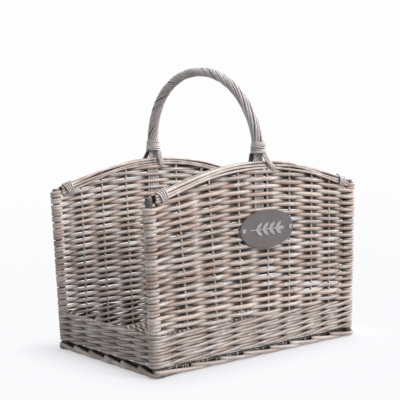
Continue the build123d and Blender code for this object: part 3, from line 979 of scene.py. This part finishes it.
def footBinding(name):
    wall = walls[name]
    low, high = boxOf("handle_binding_" + name)
    spare = footBind["strand"] + footBind["tilt"]
    bottom, top = low[2] + spare, high[2] - spare
    points = []
    count = int(footBind["turns"] * footBind["perTurn"])
    for i in range(count + 1):
        share = i / count
        angle = 2 * math.pi * i / footBind["perTurn"]
        reach = footBind["lowRadius"] + (footBind["highRadius"] - footBind["lowRadius"]) * share
        tilt = footBind["tilt"] * math.sin(angle + 9 * share)
        up = (bottom + (top - bottom) * share + tilt) / wall["up"][2]
        away = wall["across"] * math.cos(angle) + wall["out"] * math.sin(angle)
        points.append((*(onWall(wall, wall["footX"], up, 0) + reach * away), *away))
    line = bend(points, footBind["step"])
    # painted shade on the inner sides of the turns
    return [rod(line, footBind["strand"] * knobbly(line, 0.12), line[:, 3:6], 0.95, 0.6, edge=0.85)]


strap = {"radius": 1.85, "outer": (5.0, 28.0), "inner": (-7.0, -13.0), "strands": 3, "strandGap": 3.5,
            "over": 2, "under": 2.5, "tuck": 4.0, "step": 4.0, "sides": 10}


def strapRods(name):
    wall = walls[name]
    offset = rimLine["faceOffset"] + rimLine["rodRadius"] + strap["radius"] + 0.1
    rods = []
    for side, (begin, end) in ((1, strap["outer"]), (-1, strap["inner"])):
        for strand in range(strap["strands"]):
            shift = wall["footX"] + (strand - (strap["strands"] - 1) / 2) * strap["strandGap"]
            under = rimAt(shift + end) - rimDepth - strap["under"]
            top = wall["footZ"] + strap["over"]
            # across, up and out, from under the binding, over the rim and in under it
            middle = begin + (end - begin) * 0.5
            stops = ((begin, top, offset + 0.5), (middle, (top + under) / 2, offset + 0.6),
                     (end, under + 5, offset), (end + 0.5, under, offset - 3),
                     (end + 0.5, under - 1, strap["tuck"]))
            points = [onWall(wall, shift + across, up, side * out) for across, up, out in stops]
            line = bend(points, strap["step"])
            size = strap["radius"] * knobbly(line, 0.05)
            # painted shade on the sides that lie against the rim
            rods.append(rod(line, size, side * wall["out"], 0.9, 0.7))
    return rods


for wallName in ("front", "back"):
    makeRods("handle_foot_turns_" + wallName, footBinding(wallName), footBind, handleWillow,
             "willow_binding", "handle_binding_" + wallName)
    makeRods("handle_strap_rods_" + wallName, strapRods(wallName), strap, handleWillow,
             "willow_binding", "handle_straps_" + wallName)

# name plate, carried over from the frame with its own finishes


def paintedPlate():
    # Sheet steel sprayed matt grey: an even, slightly grainy coat with no colour of its own
    grain, cloud = 1.2, 22        # mm, orange peel of the coat, and slow change in its grey
    material, tree, shader = newMaterial("painted_steel_plate")
    spot = addNode(tree, "TexCoord").outputs["Object"]
    peel = addNode(tree, "TexNoise", {"Vector": spot, "Scale": 1 / (grain * mm), "Detail": 3.0})
    haze = addNode(tree, "TexNoise", {"Vector": spot, "Scale": 1 / (cloud * mm), "Detail": 2.0})
    ramp = addNode(tree, "ValToRGB", {"Fac": haze})
    setRamp(ramp, [(0.3, "#5f5959"), (0.7, "#6a6464")])
    rough = addNode(tree, "MapRange", {"Value": peel, "To Min": 0.5, "To Max": 0.68})
    bump = addNode(tree, "Bump", {"Height": peel, "Strength": 0.25, "Distance": 0.1 * mm})
    feed(tree, shader, {"Base Color": ramp, "Roughness": rough, "Normal": bump})
    return material


def bareMetal(name, colours, roughness, brush):
    # Bare metal, brushed in one direction, so the light spreads along it
    stroke = 1 / (12 * mm), 1, 1 / (brush * mm)
    material, tree, shader = newMaterial(name)
    spot = addNode(tree, "TexCoord").outputs["Object"]
    stretch = addNode(tree, "Mapping", {"Vector": spot, "Scale": stroke})
    lines = addNode(tree, "TexNoise", {"Vector": stretch, "Scale": 1.0, "Detail": 3.0})
    ramp = addNode(tree, "ValToRGB", {"Fac": lines})
    setRamp(ramp, zip((0.3, 0.7), colours))
    rough = addNode(tree, "MapRange", {"Value": lines, "To Min": roughness[0], "To Max": roughness[1]})
    feed(tree, shader, {"Base Color": ramp, "Roughness": rough, "Metallic": 1.0})
    return material


def dress(node, material):
    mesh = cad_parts[node].data
    mesh.materials.clear()
    mesh.materials.append(material)


dress("name_plate", paintedPlate())
dress("plate_sprig", bareMetal("cast_aluminium_relief", ("#b4b0b2", "#cfccce"), (0.34, 0.5), 0.5))
wireFinish = bareMetal("galvanised_wire", ("#e4e2e4", "#f6f4f6"), (0.27, 0.43), 0.3)
dress("plate_eyelets", wireFinish)
dress("plate_wire_ties", wireFinish)
dress("handle_core", willow("willow_core", grey, "#b8aea6", 0.3))
print("basket: plate and core finished")

# floor, light and camera: places and sizes are in metres
setting = {
    "floor": 8,
    "footprint": (0.25, 0.16, 0),  # half the basket's length and width
    "nearFrom": 0.5,  # how much of the backdrop's white the paper holds at the footprint,
    "nearTo": 0.1,  # and how far out it is all white
    "farFrom": 0.2,  # between these distances that turns to the backdrop's own white
    "farTo": 3.5,
    "offCamera": 0.5,  # strength of the backdrop's white for light and reflections
    "lights": {  # place, size, power and colour
        "key": ((2.5, -4.2, 2.8), 2.0, 245, "#fff8f4"),
        "side": ((4.2, -0.3, 1.7), 2.6, 150, "#f4f8ff"),
        "fill": ((-2.4, -1.4, 1.6), 1.8, 9, "#ffffff"),
        "top": ((0.3, 0.3, 2.8), 2.0, 62, "#ffffff"),
    },
    "lightsAim": (0, 0, 0.2),
    "lens": 90,
    "eye": (-1.2301, -1.5392, 0.4611),
    "target": (-0.0025, 0.0127, 0.2842),
    "roll": -0.02385,
}


def aim(thing, place, target):
    thing.location = place
    thing.rotation_euler = (Vector(target) - Vector(place)).to_track_quat("-Z", "Y").to_euler()
    bpy.context.scene.collection.objects.link(thing)


def studio():
    bpy.ops.mesh.primitive_plane_add(size=setting["floor"])
    floor = bpy.context.object
    floor.name = "studio_floor"
    material, tree, shader = newMaterial("studio_paper")
    feed(tree, shader, {"Base Color": hexColour("#c9c9ce"), "Roughness": 0.9})
    # away from the basket's footprint the paper takes on the backdrop's white, so that no edge shows
    spot = addNode(tree, "TexCoord").outputs["Object"]
    size = addNode(tree, "VectorMath", {0: spot}, operation="ABSOLUTE")
    past = addNode(tree, "VectorMath", {0: size, 1: setting["footprint"]}, operation="SUBTRACT")
    outside = addNode(tree, "VectorMath", {0: past, 1: (0, 0, 0)}, operation="MAXIMUM")
    away = addNode(tree, "VectorMath", {0: outside}, operation="LENGTH")
    near = addNode(tree, "MapRange", {"Value": away, "From Max": setting["nearTo"],
                                      "To Min": setting["nearFrom"]})
    far = addNode(tree, "MapRange", {"Value": away, "From Min": setting["farFrom"],
                                     "From Max": setting["farTo"]})
    white = addNode(tree, "Mix", {"Factor": far, "A": hexColour("#fafafc"), "B": hexColour("#fdfdfe")},
                    data_type="RGBA")
    seen = addNode(tree, "LightPath").outputs["Is Camera Ray"]
    strength = addNode(tree, "MapRange", {"Value": seen, "To Min": setting["offCamera"], "To Max": 1.0})
    backdrop = addNode(tree, "Emission", {"Color": white, "Strength": strength})
    both = addNode(tree, "MixShader", {0: near, 1: shader, 2: backdrop})
    feed(tree, tree.nodes["Material Output"], {"Surface": both})
    floor.data.materials.append(material)
    floor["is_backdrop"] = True

    world = bpy.data.worlds.new("studio")
    bpy.context.scene.world = world
    world.use_nodes = True
    tree = world.node_tree
    tree.nodes.clear()
    # a white backdrop that gives the basket only a soft part of its light
    backdrop = addNode(tree, "Background", {"Color": hexColour("#fdfdfe"), "Strength": 1.0})
    glow = addNode(tree, "Background", {"Color": hexColour("#f6f8ff"), "Strength": 0.5})
    seen = addNode(tree, "LightPath").outputs["Is Camera Ray"]
    both = addNode(tree, "MixShader", {0: seen, 1: glow, 2: backdrop})
    addNode(tree, "OutputWorld", {"Surface": both})

    for name, (place, size, power, colour) in setting["lights"].items():
        data = bpy.data.lights.new(name, "AREA")
        data.size, data.energy, data.color = size, power, hexColour(colour)[:3]
        aim(bpy.data.objects.new(name, data), place, setting["lightsAim"])


def camera():
    data = bpy.data.cameras.new("camera")
    data.lens, data.sensor_width = setting["lens"], 36
    eye = bpy.data.objects.new("camera", data)
    aim(eye, setting["eye"], setting["target"])
    eye.rotation_euler.rotate_axis("Z", setting["roll"])
    bpy.context.scene.camera = eye


studio()
camera()
bpy.context.scene.view_settings.view_transform = "Standard"
print("basket: floor, lights and camera set")

low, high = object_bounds()
print("basket: all pieces made")
